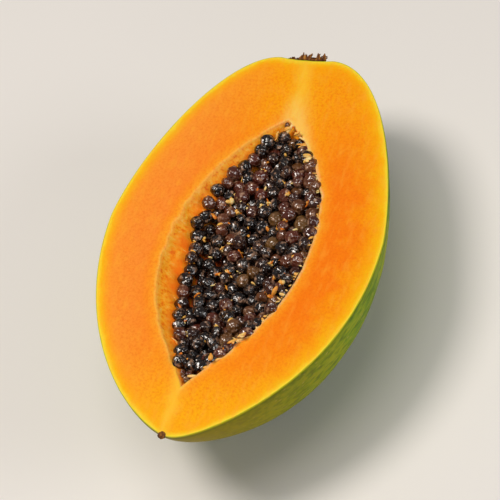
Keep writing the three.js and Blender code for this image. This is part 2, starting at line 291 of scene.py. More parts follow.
sheet[:, :, 2] = np.maximum(sheet[:, :, 2] + CUT_Z, 0)


def deselect_all():
    bpy.ops.object.select_all(action="DESELECT")


def wrapped_sheet(name, points, attributes):
    """A grid primitive laid over rows and columns of points, closed along its seams."""
    deselect_all()
    rows, columns = points.shape[:2]
    bpy.ops.mesh.primitive_grid_add(x_subdivisions=columns - 1, y_subdivisions=rows - 1, size=1)
    piece = bpy.context.object
    piece.name = name
    mesh = piece.data
    flat = np.zeros(len(mesh.vertices) * 3)
    mesh.vertices.foreach_get("co", flat)
    flat = flat.reshape(-1, 3)
    column = np.rint((flat[:, 0] + 0.5) * (columns - 1)).astype(int)
    row = np.rint((flat[:, 1] + 0.5) * (rows - 1)).astype(int)
    mesh.vertices.foreach_set("co", points[row, column].ravel())
    for key, values in attributes.items():
        mesh.attributes.new(key, "FLOAT", "POINT").data.foreach_set("value", values[row, column])
    return piece, row


def close_and_smooth(piece, gap=0.004 * MM):
    bpy.ops.object.mode_set(mode="EDIT")
    bpy.ops.mesh.select_all(action="SELECT")
    bpy.ops.mesh.remove_doubles(threshold=gap)
    bpy.ops.mesh.dissolve_degenerate(threshold=0.5 * gap)
    bpy.ops.mesh.normals_make_consistent(inside=False)
    bpy.ops.object.mode_set(mode="OBJECT")
    bpy.ops.object.shade_smooth()


fruit, fruit_rows = wrapped_sheet(
    "papaya_half", sheet, {"under_skin": under_skin, "over_rim": over_rim, "streak": streak, "halo": halo}
)
for face in fruit.data.polygons:
    face.material_index = int(max(fruit_rows[v] for v in face.vertices) > cut_end)
close_and_smooth(fruit)


def linear(code):
    """An sRGB hex colour as the linear colour that a shader takes."""
    parts = [int(code[i:i + 2], 16) / 255 for i in (1, 3, 5)]
    return [p / 12.92 if p <= 0.04045 else ((p + 0.055) / 1.055) ** 2.4 for p in parts] + [1]


def add(tree, kind, inputs=None, stops=None, **settings):
    """Adds a node. An input is a value, a node (its first live output) or one output of a node;
    stops are the colours of a ramp, the first and the last one before those between them."""
    made = tree.nodes.new("ShaderNode" + kind)
    for key, value in settings.items():
        setattr(made, key, value)
    for key, value in (inputs or {}).items():
        if isinstance(value, bpy.types.Node):
            value = next(output for output in value.outputs if output.enabled)
        if isinstance(value, bpy.types.NodeSocket):
            tree.links.new(value, made.inputs[key])
        else:
            made.inputs[key].default_value = value
    for k, (place, colour) in enumerate(stops or ()):
        stop = made.color_ramp.elements[k] if k < 2 else made.color_ramp.elements.new(place)
        stop.position = place
        stop.color = linear(colour)
    return made


def new_material(name):
    material = bpy.data.materials.new(name)
    material.use_nodes = True
    material.node_tree.nodes.clear()
    return material, material.node_tree


def finish_material(tree, shader):
    add(tree, "OutputMaterial", {"Surface": shader})


# Ripe papaya flesh, cut moist: yellow under the skin and orange within, paler towards both ends.
# The broken cells give it a fine grain and a damp, broken shine, and light sinks a little way in.
GRAIN = 1.1 * MM
CLOUD = 8 * MM
THREAD = 1.4 * MM  # width of the vessels that show on the cavity's wall
SKIN_THICK = 0.5  # millimetres of green skin at the cut edge
BAND = 20  # millimetres over which the colours change from the skin inwards

flesh, tree = new_material("papaya_flesh_cut_moist_painted_light")
place = add(tree, "TexCoord").outputs["Object"]
grain = add(tree, "TexNoise", {"Vector": place, "Scale": 1 / GRAIN, "Detail": 3.0, "Roughness": 0.6})
cloud = add(tree, "TexNoise", {"Vector": place, "Scale": 1 / CLOUD, "Detail": 3.0, "Roughness": 0.55})
stretch = add(tree, "Mapping", {"Vector": place, "Scale": (0.35, 1, 1)})
fibre = add(tree, "TexNoise", {"Vector": stretch, "Scale": 1 / (2.4 * MM), "Detail": 4.0})
depth = add(tree, "Attribute", attribute_name="under_skin").outputs["Fac"]
rim_depth = add(tree, "Attribute", attribute_name="over_rim").outputs["Fac"]
strand = add(tree, "Attribute", attribute_name="streak").outputs["Fac"]
split = add(tree, "SeparateXYZ", {"Vector": place})
along = split.outputs["X"]
across = split.outputs["Y"]

# The colour borders wander by about a millimetre deep inside and hardly at all at the skin
wander = add(tree, "Math", {0: cloud, 1: 0.5}, operation="SUBTRACT")
wander = add(tree, "Math", {0: wander, 1: depth}, operation="MULTIPLY")
uneven_depth = add(tree, "Math", {0: wander, 1: 1.7, 2: depth}, operation="MULTIPLY_ADD")
share_in = add(tree, "Math", {0: uneven_depth, 1: BAND}, operation="DIVIDE")
body = add(tree, "ValToRGB", {"Fac": share_in}, stops=(
    (0.0, "#8C9C10"),
    (1.0, "#FB8006"),
    (0.6 * SKIN_THICK / BAND, "#D4CC30"),
    (SKIN_THICK / BAND, "#FBDA36"),
    (2.0 / BAND, "#FABC08"),
    (4.0 / BAND, "#FCAC04"),
    (6.5 / BAND, "#FD9E02"),
    (9.5 / BAND, "#FC9002"),
    (13.5 / BAND, "#FC8405"),
))
far_end = add(tree, "MapRange", {
    "Value": along, "From Min": TIP_X + 60 * MM, "From Max": TIP_X + 15 * MM, "To Max": 0.75})
stem_end = add(tree, "MapRange", {
    "Value": along, "From Min": STEM_X - 60 * MM, "From Max": STEM_X - 18 * MM, "To Max": 0.8})
ends = add(tree, "Math", {0: far_end, 1: stem_end}, operation="MAXIMUM")
tip_share = add(tree, "MapRange", {
    "Value": along, "From Min": TIP_X + 34 * MM, "From Max": TIP_X + 8 * MM, "To Max": 0.85})
around = add(tree, "Attribute", attribute_name="halo").outputs["Fac"]
around = add(tree, "Math", {0: around, 1: 0.8}, operation="MULTIPLY")
pale_side = add(tree, "MapRange", {"Value": across, "From Min": 8 * MM, "From Max": 34 * MM, "To Max": 0.75})
inside = add(tree, "MapRange", {"Value": depth, "From Min": 1.5, "From Max": 6.0})
for share, colour in ((ends, "#FFA40A"), (tip_share, "#FFB800"), (around, "#FFAC00"), (pale_side, "#FF9836")):
    share = add(tree, "Math", {0: share, 1: inside}, operation="MULTIPLY")
    body = add(tree, "Mix", {0: share, 6: body, 7: linear(colour)}, data_type="RGBA")
inner = add(tree, "ValToRGB", {
    "Fac": add(tree, "MapRange", {"Value": rim_depth, "From Max": 7.0})
}, stops=(
    (0.0, "#FFBC50"),
    (1.0, "#FC8C0A"),
    (0.08, "#FFB244"),
    (0.18, "#FFA424"),
    (0.5, "#FE9A14"),
))
# Painted highlight: a thin pale line along the edge of the rim on the -Y side stands in for the light that
# the rounded edge catches.
near_side = add(tree, "MapRange", {"Value": across, "From Min": 6 * MM, "From Max": -8 * MM, "To Max": 0.8})
rim_highlight = add(tree, "MapRange", {"Value": rim_depth, "From Min": 1.5, "From Max": 0.2})
rim_highlight = add(tree, "Math", {0: rim_highlight, 1: near_side}, operation="MULTIPLY")
inner_share = add(tree, "MapRange", {"Value": rim_depth, "From Min": 6.0, "From Max": 1.6})
blend = add(tree, "Mix", {0: inner_share, 6: body, 7: inner}, data_type="RGBA")
strand_soft = add(tree, "Math", {0: fibre, 1: strand}, operation="MULTIPLY")
strand_soft = add(tree, "Math", {0: strand_soft, 1: 1.6}, operation="MULTIPLY", use_clamp=True)
with_rim_highlight = add(tree, "Mix", {0: rim_highlight, 6: blend, 7: linear("#FFC68A")}, data_type="RGBA")
apex = add(tree, "MapRange", {"Value": along, "From Min": STEM_X - 16 * MM, "From Max": STEM_X - 28 * MM})
cream = add(tree, "Mix", {0: apex, 6: linear("#FFC432"), 7: linear("#FFCE62")}, data_type="RGBA")
whole = add(tree, "MapRange", {"Value": along, "From Min": TIP_X + 60 * MM, "From Max": TIP_X + 40 * MM})
cream = add(tree, "Mix", {0: whole, 6: cream, 7: linear("#FFC432")}, data_type="RGBA")
pale = add(tree, "Mix", {0: strand_soft, 6: with_rim_highlight, 7: cream}, data_type="RGBA")
speck = add(tree, "MapRange", {"Value": grain, "From Min": 0.45, "From Max": 0.66, "To Max": 0.42})
deep_share = add(tree, "MapRange", {"Value": depth, "From Min": 2.0, "From Max": 9.0, "To Min": 0.2})
speck = add(tree, "Math", {0: speck, 1: deep_share}, operation="MULTIPLY")
clear = add(tree, "Math", {0: 1.0, 1: strand}, operation="SUBTRACT")
speck = add(tree, "Math", {0: speck, 1: clear}, operation="MULTIPLY")
light = add(tree, "MapRange", {"Value": fibre, "From Min": 0.5, "From Max": 0.7, "To Max": 0.35})
for share, colour in ((speck, "#F06800"), (light, "#FFAE30")):
    pale = add(tree, "Mix", {0: share, 6: pale, 7: linear(colour)}, data_type="RGBA")

# The cavity's wall is mottled yellow below the rim and turns reddish where the seeds lie on it; its yellow is
# partly painted light.
stretch = add(tree, "Mapping", {"Vector": place, "Scale": (1, 0.8, 0.8)})
vessels = add(tree, "TexNoise", {"Vector": stretch, "Scale": 1 / THREAD, "Detail": 3.0, "Roughness": 0.6})
# Painted light, in part: the ramp's pale yellows are paler than the flesh, standing in for the light that
# shines through the thin flesh onto this shaded wall.
wall = add(tree, "ValToRGB", {"Fac": vessels}, stops=(
    (0.34, "#EE7408"),
    (0.72, "#FFC85C"),
    (0.46, "#FFA41C"),
    (0.58, "#FFB434"),
))
wall_share = add(tree, "MapRange", {"Value": rim_depth, "From Max": -1.2})
lined = add(tree, "Mix", {0: wall_share, 6: pale, 7: wall}, data_type="RGBA")
red_share = add(tree, "MapRange", {"Value": rim_depth, "From Min": -1.2, "From Max": -4.5})
patchy = add(tree, "MapRange", {"Value": cloud, "From Min": 0.38, "From Max": 0.56, "To Min": 0.25})
red_share = add(tree, "Math", {0: red_share, 1: patchy}, operation="MULTIPLY")
tip_red = add(tree, "MapRange", {
    "Value": along, "From Min": TIP_X + 46 * MM, "From Max": TIP_X + 30 * MM, "To Max": 0.75})
tip_red = add(tree, "Math", {0: tip_red, 1: wall_share}, operation="MULTIPLY")
for share, colour in ((red_share, "#FF7C12"), (tip_red, "#E0761C")):
    lined = add(tree, "Mix", {0: share, 6: lined, 7: linear(colour)}, data_type="RGBA")
wet = add(tree, "MapRange", {"Value": fibre, "To Min": 0.34, "To Max": 0.6})
rough = add(tree, "Math", {0: fibre, 1: 1.4, 2: grain}, operation="MULTIPLY_ADD")
relief = add(tree, "Bump", {"Height": rough, "Strength": 0.6, "Distance": 0.14 * MM})
shader = add(tree, "BsdfPrincipled", {
    "Base Color": lined,
    "Roughness": wet,
    "Normal": relief,
    "IOR": 1.36,
    "Specular IOR Level": 0.28,
    "Subsurface Weight": 0.4,
    "Subsurface Radius": (1.0, 0.45, 0.1),
    "Subsurface Scale": 3.0 * MM,
})
finish_material(tree, shader)

# Papaya skin: thin, waxed by the plant itself, olive green ripening to yellow in patches, with pale
# corky flecks drawn out along the fruit as it grew.
FLECK = 1.0 * MM
PATCH = 30 * MM
skin, tree = new_material("papaya_skin_waxy_green_painted_highlight")
place = add(tree, "TexCoord").outputs["Object"]
patches = add(tree, "TexNoise", {"Vector": place, "Scale": 1 / PATCH, "Detail": 5.0, "Roughness": 0.6})
green = add(tree, "ValToRGB", {"Fac": patches}, stops=(
    (0.28, "#446C00"),
    (0.8, "#CCA400"),
    (0.42, "#5A8400"),
    (0.55, "#729600"),
    (0.66, "#94A400"),
))
stretch = add(tree, "Mapping", {"Vector": place, "Scale": (0.2, 1, 1)})
streaks = add(tree, "TexNoise", {"Vector": stretch, "Scale": 1 / (1.8 * MM), "Detail": 4.0})
streak_share = add(tree, "MapRange", {"Value": streaks, "From Min": 0.45, "From Max": 0.68, "To Max": 0.7})
dark_share = add(tree, "MapRange", {"Value": streaks, "From Min": 0.5, "From Max": 0.34, "To Max": 0.65})
stretch = add(tree, "Mapping", {"Vector": place, "Scale": (0.5, 1, 1)})
flecks = add(tree, "TexVoronoi", {"Vector": stretch, "Scale": 1 / (2.6 * FLECK)})
fleck_share = add(tree, "MapRange", {
    "Value": flecks, "From Min": 0.1, "From Max": 0.22, "To Min": 0.7, "To Max": 0.0})
split = add(tree, "SeparateXYZ", {"Vector": place})
along = split.outputs["X"]
under_cut = split.outputs["Z"]
tip_share = add(tree, "MapRange", {
    "Value": along, "From Min": TIP_X + 6 * MM, "From Max": TIP_X + 60 * MM, "To Min": 0.8, "To Max": 0.0})
below = add(tree, "MapRange", {"Value": under_cut, "From Min": CUT_Z, "From Max": CUT_Z - 4 * MM})
# A narrow darker green band just below the cut edge.
under_cut_band = add(tree, "ValToRGB", {"Fac": below}, stops=(
    (0.0, "#000000"),
    (1.0, "#000000"),
    (0.12, "#404040"),
    (0.3, "#B0B0B0"),
    (0.55, "#505050"),
))
# Painted highlight: a pale yellow-green strip along the top of the skin, just under the cut edge, stands in
# for the light it catches.
lit_edge = add(tree, "MapRange", {"Value": below, "From Max": 0.2, "To Min": 0.8, "To Max": 0.0})
for share, colour in (
    (streak_share, "#AAA422"),
    (dark_share, "#3C5204"),
    (fleck_share, "#BCA850"),
    (tip_share, "#9A8010"),
    (under_cut_band, "#4C6800"),
    (lit_edge, "#C8C418"),
):
    green = add(tree, "Mix", {0: share, 6: green, 7: linear(colour)}, data_type="RGBA")
wax = add(tree, "MapRange", {"Value": streaks, "To Min": 0.42, "To Max": 0.65})
pores = add(tree, "Math", {0: fleck_share, 1: 0.5, 2: streaks}, operation="MULTIPLY_ADD")
relief = add(tree, "Bump", {"Height": pores, "Strength": 0.4, "Distance": 0.1 * MM})
shader = add(tree, "BsdfPrincipled", {
    "Base Color": green,
    "Roughness": wax,
    "Normal": relief,
    "IOR": 1.4,
    "Specular IOR Level": 0.14,
})
finish_material(tree, shader)

fruit.data.materials.append(flesh)
fruit.data.materials.append(skin)
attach(fruit, "root")
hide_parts("fruit_half")

# The seeds: ovals about 5 mm across, each in a wet jelly coat, that cling together in a bed which is
# hollow in the middle and stands above the rim on the -Y side. One seed is modelled and copied,
# and the copies are pushed apart on two layers until they fit.

SEED_HALF = (3.1 * MM, 2.8 * MM, 2.7 * MM)
SEED_SPACING = 5.5 * MM
UPPER_SEEDS = 122
LOWER_SEEDS = 96
NEAR_MARGIN = (1.5 * MM, 3.8 * MM)  # least and most from a seed's middle to the rim on the -Y side
FAR_MARGIN = (5.6 * MM, 12.5 * MM)  # the same on the +Y side, where the wall slopes in
STEM_MARGIN = (7.0 * MM, 14 * MM)  # the same to the cavity's point at the stem
TIP_MARGIN = (11.5 * MM, 22 * MM)  # the same to its point at the tip
SMALL_SEEDS = 16  # shrunken ones in the narrow end at the tip
WALL_GAP = 2.2 * MM  # from a seed's middle to the wall under it
BED_NEAR = -2.0 * MM  # depth of the bed at the -Y rim
BED_TOP = 1.0 * MM  # least depth of any seed's middle
BED_FAR = 3.6 * MM  # depth of the bed at the +Y rim
BED_HOLLOW = 8.5 * MM  # how much deeper it is in the middle
BED_UNEVEN = 2.2 * MM  # how far single seeds stand out of it
LAYER = 3.7 * MM  # from the upper layer down to the lower one
SEED_SIZES = (0.84, 1.1)
SMALL_SIZES = (0.24, 0.42)
SMALL_REACH = (3.5, 13)  # millimetres from the cavity's point at the tip to the small seeds
NARROW_HALF = 14 * MM  # half width of the cavity under which the margin at its +Y side shrinks
SETTLE_ROUNDS = 300
SETTLE_STEP = 0.2  # share of an overlap that one round takes away
START_SWELL = 0.5  # how much wider apart than they end the seeds are pushed at first, as a share
SWELL_FADE = 1.6  # how fast that fades over the rounds
SEED_TAPER = 0.14  # how much narrower a seed is at one end
SEED_DENT = 0.16  # unevenness of a seed, as a share of its size
BLACK_TINT = 0.6  # the deepest tint of a black seed
OLIVE_TINTS = (0.8, 0.9)
OLIVE_SHARE = 0.45  # share of olive brown seeds on the +Y side of the stem end
OLIVE_START = 15 * MM  # from the cavity's middle towards the stem, where they begin
RED_TINTS = (0.7, 1.0)
RED_SIDE = -0.35  # share across the cavity below which most seeds are reddish
RED_SHARES = (0.75, 0.15)  # share of reddish seeds there and elsewhere
draw = random.Random(4127)


def share_across(x, y):
    """How far a place is across the cavity, from -1 at the -Y rim to 1 at the +Y rim."""
    half = np.maximum(cavity_half_width(x), 0.01 * MM)
    return np.clip((y - core_y(x)) / half, -1, 1)


def bed_depth(x, y):
    across = share_across(x, y)
    hollow = BED_HOLLOW * cavity_half_width(x) / CAVITY_WIDTH * (1 - across ** 2)
    return BED_NEAR + (BED_FAR - BED_NEAR) * (across + 1) / 2 + hollow


def cavity_floor(x, y):
    across = share_across(x, y)
    return cavity_half_width(x) * wall_depth(np.abs(across), across > 0)


def settle(places, sink, margins):
    """Keeps every seed's middle inside the cavity, on its layer of the bed."""
    near_margin, far_margin, stem_margin, tip_margin = margins
    first = CAVITY_MIDDLE - REACH_TIP + tip_margin
    last = CAVITY_MIDDLE + REACH_STEM - stem_margin
    x = np.clip(places[:, 0], first, last)
    half = cavity_half_width(x)
    narrow = np.clip(half / NARROW_HALF, 0.3, 1)
    near = np.minimum(near_margin - half, 0)
    far = np.maximum(half - far_margin * narrow, 0)
    y = core_y(x) + np.clip(places[:, 1] - core_y(x), near, far)
    depth = np.maximum(bed_depth(x, y) + sink, BED_TOP)
    return np.stack([x, y, -np.minimum(depth, cavity_floor(x, y) - WALL_GAP)], 1)


def seed_places():
    """Places for all seeds, pushed apart on their two layers until they fit, with the size of each."""
    count = UPPER_SEEDS + LOWER_SEEDS
    sink = np.array([BED_UNEVEN * draw.uniform(-1, 0.4) for _ in range(count)])
    sink[UPPER_SEEDS:] += LAYER
    bounds = (NEAR_MARGIN, FAR_MARGIN, STEM_MARGIN, TIP_MARGIN)
    margins = [np.array([draw.uniform(*bound) for _ in range(count)]) for bound in bounds]
    sizes = np.array([draw.uniform(*SEED_SIZES) for _ in range(count)])
    start = np.array([(float(cavity_x(draw.uniform(-1, 1))),
                       draw.uniform(-1, 1) * CAVITY_WIDTH, 0) for _ in range(count)])
    places = settle(start, sink, margins)
    for k in range(SETTLE_ROUNDS):
        swell = 1 + START_SWELL * max(0, 1 - SWELL_FADE * k / SETTLE_ROUNDS)
        spacing = SEED_SPACING * (sizes[:, None] + sizes[None]) / 2 * swell
        away = places[:, None] - places[None]
        distance = np.sqrt((away ** 2).sum(2)) + 1e-9
        push = np.clip(spacing - distance, 0, None) / distance
        np.fill_diagonal(push, 0)
        places[:, :2] += SETTLE_STEP * (away[:, :, :2] * push[:, :, None]).sum(1)
        places = settle(places, sink, margins)
    return zip(places, sizes)


def tinted_copy(pattern, tint):
    """A copy of an object with its own mesh, which has one tint all over."""
    piece = pattern.copy()
    piece.data = pattern.data.copy()
    values = np.full(len(piece.data.vertices), tint)
    piece.data.attributes.new("tint", "FLOAT", "POINT").data.foreach_set("value", values)
    bpy.context.collection.objects.link(piece)
    return piece


def joined(pieces, name):
    """Several objects as one, in the place of the first of them."""
    deselect_all()
    for piece in pieces:
        piece.select_set(True)
    bpy.context.view_layer.objects.active = pieces[0]
    bpy.ops.object.join()
    pieces[0].name = name
    return pieces[0]


def seed_copy(pattern, place, size, tint):
    """A copy of the pattern seed, made uneven, turned at random and set in its place."""
    seed = tinted_copy(pattern, tint)
    offset = Vector([draw.uniform(0, 99) for _ in range(3)])
    for vertex in seed.data.vertices:
        vertex.co *= 1 + SEED_DENT * noise.noise(vertex.co * 1.1 + offset)
    turn = Euler([draw.uniform(0, 2 * math.pi) for _ in range(3)]).to_matrix().to_4x4()
    scale = Matrix.Diagonal([s * size for s in SEED_HALF] + [1])
    seed.data.transform(Matrix.Translation(place) @ turn @ scale)
    return seed


deselect_all()
bpy.ops.mesh.primitive_uv_sphere_add(segments=10, ring_count=7, radius=1)
pattern_seed = bpy.context.object
for vertex in pattern_seed.data.vertices:
    narrow = 1 - SEED_TAPER * vertex.co.x
    vertex.co.y *= narrow
    vertex.co.z *= narrow
bpy.ops.object.shade_smooth()
seeds = []
placed = list(seed_places())
for place, size in placed:
    across = float(share_across(place[0], place[1]))
    tint = BLACK_TINT * draw.random()
    if draw.random() < OLIVE_SHARE and place[0] > CAVITY_MIDDLE + OLIVE_START and across > 0:
        tint = draw.uniform(*OLIVE_TINTS)
    elif draw.random() < (RED_SHARES[0] if across < RED_SIDE else RED_SHARES[1]):
        tint = draw.uniform(*RED_TINTS)
    seeds.append(seed_copy(pattern_seed, Vector(place) + Vector((0, 0, CUT_Z)), size, tint))
for _ in range(SMALL_SEEDS):
    x = CAVITY_MIDDLE - REACH_TIP + draw.uniform(*SMALL_REACH) * MM
    y = core_y(x) + draw.uniform(-0.6, 0.6) * cavity_half_width(x)
    spot = Vector((x, y, CUT_Z - 0.75 * float(cavity_floor(x, y))))
    seeds.append(seed_copy(pattern_seed, spot, draw.uniform(*SMALL_SIZES), draw.uniform(0.85, 1.0)))

# One shrunken seed sits in the cavity's point at the stem
stem_point = CAVITY_MIDDLE + REACH_STEM
spot = Vector((stem_point - 1.6 * MM, core_y(stem_point), CUT_Z - 0.9 * MM))
seeds.append(seed_copy(pattern_seed, spot, 0.36, 0.9))
bpy.data.objects.remove(pattern_seed)
seed_heap = joined(seeds, "seed_heap")

# Papaya seeds: nearly black, wrinkled coats under clear jelly, a few of them reddish or olive brown
# where the jelly is thin. The wet jelly shines in soft patches that the wrinkles break up.
WRINKLE = 1.35 * MM
seed_coat, tree = new_material("papaya_seed_in_wet_jelly_painted_sheen")
place = add(tree, "TexCoord").outputs["Object"]
tint = add(tree, "Attribute", attribute_name="tint").outputs["Fac"]
coat = add(tree, "ValToRGB", {"Fac": tint}, stops=(
    (0.0, "#080101"),
    (1.0, "#6C4C22"),
    (0.45, "#150704"),
    (0.7, "#36150A"),
    (0.86, "#5A2414"),
))
# Painted sheen: pale greyish-pink patches in the base colour stand in for the soft cloudy reflections of the
# wet jelly.
sheen_noise = add(tree, "TexNoise", {"Vector": place, "Scale": 0.8 / WRINKLE, "Detail": 1.0})
painted_sheen = add(tree, "MapRange", {"Value": sheen_noise, "From Min": 0.55, "From Max": 0.76, "To Max": 0.9})
coat_with_painted_sheen = add(tree, "Mix", {0: painted_sheen, 6: coat, 7: linear("#B48C70")}, data_type="RGBA")
swells = add(tree, "TexVoronoi", {"Vector": place, "Scale": 1 / WRINKLE}, feature="SMOOTH_F1")
dents = add(tree, "Bump", {"Height": swells, "Strength": 0.8, "Distance": 1.1 * MM}, invert=True)
shader = add(tree, "BsdfPrincipled", {
    "Base Color": coat_with_painted_sheen,
    "Roughness": 0.45,
    "Normal": dents,
    "IOR": 1.4,
    "Specular IOR Level": 0.15,
    "Coat Weight": 1.0,
    "Coat Roughness": 0.17,
    "Coat IOR": 1.75,
    "Coat Normal": dents,
})
finish_material(tree, shader)
seed_heap.data.materials.append(seed_coat)
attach(seed_heap, "root")
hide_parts("seeds")

# The bed under the seeds: the dark mass of deeper seeds, juice and fibre, of which only the gaps
# between the visible seeds show anything.

BED_SINK = 3.4 * MM  # from the upper seeds' middles down to the mass
BED_GAP = 0.4 * MM
deselect_all()
bpy.ops.mesh.primitive_uv_sphere_add(segments=64, ring_count=40, radius=1, rotation=(0, math.pi / 2, 0))
bpy.ops.object.transform_apply(location=False, rotation=True, scale=False)
seed_bed = bpy.context.object
seed_bed.name = "seed_bed"


def bed_room(x, y):
    """Height between the top of the mass and the cavity's floor."""
    return cavity_floor(x, y) - BED_GAP - bed_depth(x, y) - BED_SINK


def mass_edge(x, side):
    """The share across the cavity at which the mass meets the wall, on one side."""
    shares = np.linspace(0, 1, 200)
    room = bed_room(np.full(200, x), core_y(x) + side * shares * cavity_half_width(x))
    return side * shares[np.argmax(room < 0)]


lengthwise = cavity_x(np.linspace(-1, 1, 400))
lengthwise = lengthwise[bed_room(lengthwise, core_y(lengthwise)) > 0]
edges = {}
for vertex in seed_bed.data.vertices:
    x = float(np.interp(vertex.co.x, (-1, 1), (lengthwise[0], lengthwise[-1])))
    key = round(x / MM, 3)
    if key not in edges:
        edges[key] = (mass_edge(x, -1), mass_edge(x, 1))
    ring = math.sqrt(max(1e-9, 1 - vertex.co.x ** 2))
    across = float(np.interp(vertex.co.y / ring, (-1, 1), edges[key]))
    y = float(core_y(x)) + across * float(cavity_half_width(x))
    room = max(0, float(bed_room(x, y)))
    sunk = max(0, -vertex.co.z / ring) ** 0.5
    vertex.co = (x, y, CUT_Z - float(cavity_floor(x, y)) + BED_GAP + room * (1 - sunk))
close_and_smooth(seed_bed)

# Juice-soaked placenta: dark red brown in the hollow, and orange towards the +Y wall as painted light from
# that wall.
bed_matter, tree = new_material("papaya_placenta_soaked_painted_light")
place = add(tree, "TexCoord").outputs["Object"]
blotch = add(tree, "TexNoise", {"Vector": place, "Scale": 1 / (2.5 * MM), "Detail": 3.0})
across = add(tree, "SeparateXYZ", {"Vector": place}).outputs["Y"]
# Painted light: this mask and the orange below stand in for the light that the +Y wall throws on the bed.
side = add(tree, "MapRange", {"Value": across, "From Min": 2 * MM, "From Max": 14 * MM, "To Max": 1.7})
patchy = add(tree, "Math", {0: blotch, 1: side}, operation="MULTIPLY")
dark = add(tree, "ValToRGB", {"Fac": blotch}, stops=((0.35, "#140805"), (0.75, "#4A1C08")))
painted_wall_light = add(tree, "Mix", {0: patchy, 6: dark, 7: linear("#E8641A")}, data_type="RGBA")
relief = add(tree, "Bump", {"Height": blotch, "Strength": 0.6, "Distance": 0.5 * MM})
shader = add(tree, "BsdfPrincipled", {
    "Base Color": painted_wall_light,
    "Roughness": 0.4,
    "Normal": relief,
})
finish_material(tree, shader)
seed_bed.data.materials.append(bed_matter)
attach(seed_bed, "root")

# What holds the seeds: short pale threads of the placenta. A few cling to the +Y wall beside the seeds,
# many bridge the gap at the -Y rim, and torn bits of them lie between the seeds and on top. One thread
# is modelled, and each copy is bent along its own curve.

THREAD_RADIUS = (0.22 * MM, 0.5 * MM)
WALL_THREADS = 14
RIM_THREADS = 90  # threads over the gap at the -Y rim
TORN_BITS = 130
RIM_ROOT = (0.9 * MM, 0.5 * MM)  # how far behind the rim and below the cut these start
RIM_REACH = ((-2.5, 2.5), (1.8, 4.4), (-1.4, 0.8))  # millimetres that these reach along X, Y and Z
THREAD_TOP = CUT_Z + 2.2 * MM  # no thread's middle line stands higher
LOOSE_BITS = (  # millimetres from the tip and across, where larger bits lie on the seeds
    (115, 10.5), (112, 12.0), (108, 8.6), (93, 17.2), (129, -15.0), (131, -14.2), (40, 9.5), (35, -5.0),
    (43, -11.0), (46, -13.6), (68, -19.4), (72, -21.0), (84, -22.5), (144, -2.8), (142, 0.6), (141, -7.4),
    (34, 6.2), (37, 8.4),
)
TORN_LIFT = 1.2 * MM  # from between two seeds' middles up to a torn bit
TORN_SIZE = 1.6 * MM
LOOSE_LIFT = 1.6 * MM  # from the bed up to a larger bit
LOOSE_SIZE = 1.7 * MM
LOOSE_RADIUS = 0.46 * MM
THREAD_STEPS = 6  # along a thread and round it
tube = np.zeros((THREAD_STEPS + 1, THREAD_STEPS + 1, 3))
for row in range(THREAD_STEPS + 1):
    for side in range(THREAD_STEPS + 1):
        turn = 2 * math.pi * side / THREAD_STEPS
        girth = math.sin(math.pi * row / THREAD_STEPS) ** 0.4
        tube[row, side] = (girth * math.cos(turn), girth * math.sin(turn), row / THREAD_STEPS)
pattern_thread, _ = wrapped_sheet("thread", tube, {})
close_and_smooth(pattern_thread, 0.001)
threads = []


def lay_thread(start, bend, end, radius, flat=1.0, tints=(0, 1)):
    """A thread along a curve through three points; flat widens it to a torn strip."""
    for point in (start, bend, end):
        point.z = min(point.z, THREAD_TOP)
    thread = tinted_copy(pattern_thread, draw.uniform(*tints))
    axis = (end - start).normalized()
    side = axis.orthogonal().normalized()
    side.rotate(Matrix.Rotation(draw.uniform(0, math.pi), 3, axis))
    over = axis.cross(side)
    for vertex in thread.data.vertices:
        t = vertex.co.z
        spot = start * (1 - t) ** 2 + bend * 2 * t * (1 - t) + end * t ** 2
        vertex.co = spot + side * vertex.co.x * radius * flat + over * vertex.co.y * radius
    threads.append(thread)


def wall_point(x, across, lift=0.0):
    """A point on the cavity's wall, or lifted off it."""
    y = float(core_y(x)) + across * float(cavity_half_width(x))
    return Vector((x, y, CUT_Z - float(cavity_floor(x, y)) + lift))


def jitter(size):
    return Vector([draw.uniform(-size, size) for _ in range(3)])


for _ in range(WALL_THREADS):
    x = float(cavity_x(draw.uniform(-0.86, 0.84)))
    start = wall_point(x, draw.uniform(0.72, 0.82), 0.0)
    end = wall_point(x + draw.uniform(-3, 3) * MM, draw.uniform(0.54, 0.66), 0.6 * MM)
    middle = wall_point((start.x + end.x) / 2, 0.7, 0.4 * MM)
    lay_thread(start, middle, end, draw.uniform(*THREAD_RADIUS), 1.6, (0.2, 0.8))
for _ in range(RIM_THREADS):
    x = float(cavity_x(draw.uniform(-0.93, 0.9)))
    start = Vector((x, float(core_y(x) - cavity_half_width(x)) - RIM_ROOT[0], CUT_Z - RIM_ROOT[1]))
    end = start + Vector([draw.uniform(*bound) * MM for bound in RIM_REACH])
    lay_thread(start, (start + end) / 2 + jitter(0.6 * MM), end, draw.uniform(*THREAD_RADIUS), 1.5, (0, 0.6))
upper = [Vector(place) + Vector((0, 0, CUT_Z)) for place, size in placed[:UPPER_SEEDS]]
for _ in range(TORN_BITS):
    here = draw.choice(upper)
    other = min((seed for seed in upper if seed is not here), key=lambda seed: (seed - here).length)
    middle = (here + other) / 2 + Vector((0, 0, TORN_LIFT))
    half = jitter(TORN_SIZE)
    lay_thread(middle - half, middle + jitter(0.8 * MM), middle + half, draw.uniform(*THREAD_RADIUS), 1.5)
for from_tip, y in LOOSE_BITS:
    x = TIP_X + from_tip * MM
    y *= MM
    middle = Vector((x, y, CUT_Z - float(bed_depth(x, y)) + LOOSE_LIFT))
    for _ in range(3):
        half = jitter(LOOSE_SIZE)
        lay_thread(middle - half, middle + jitter(1.0 * MM), middle + half, LOOSE_RADIUS, 1.9, (0, 0.6))
bpy.data.objects.remove(pattern_thread)
placenta_threads = joined(threads, "placenta_threads")

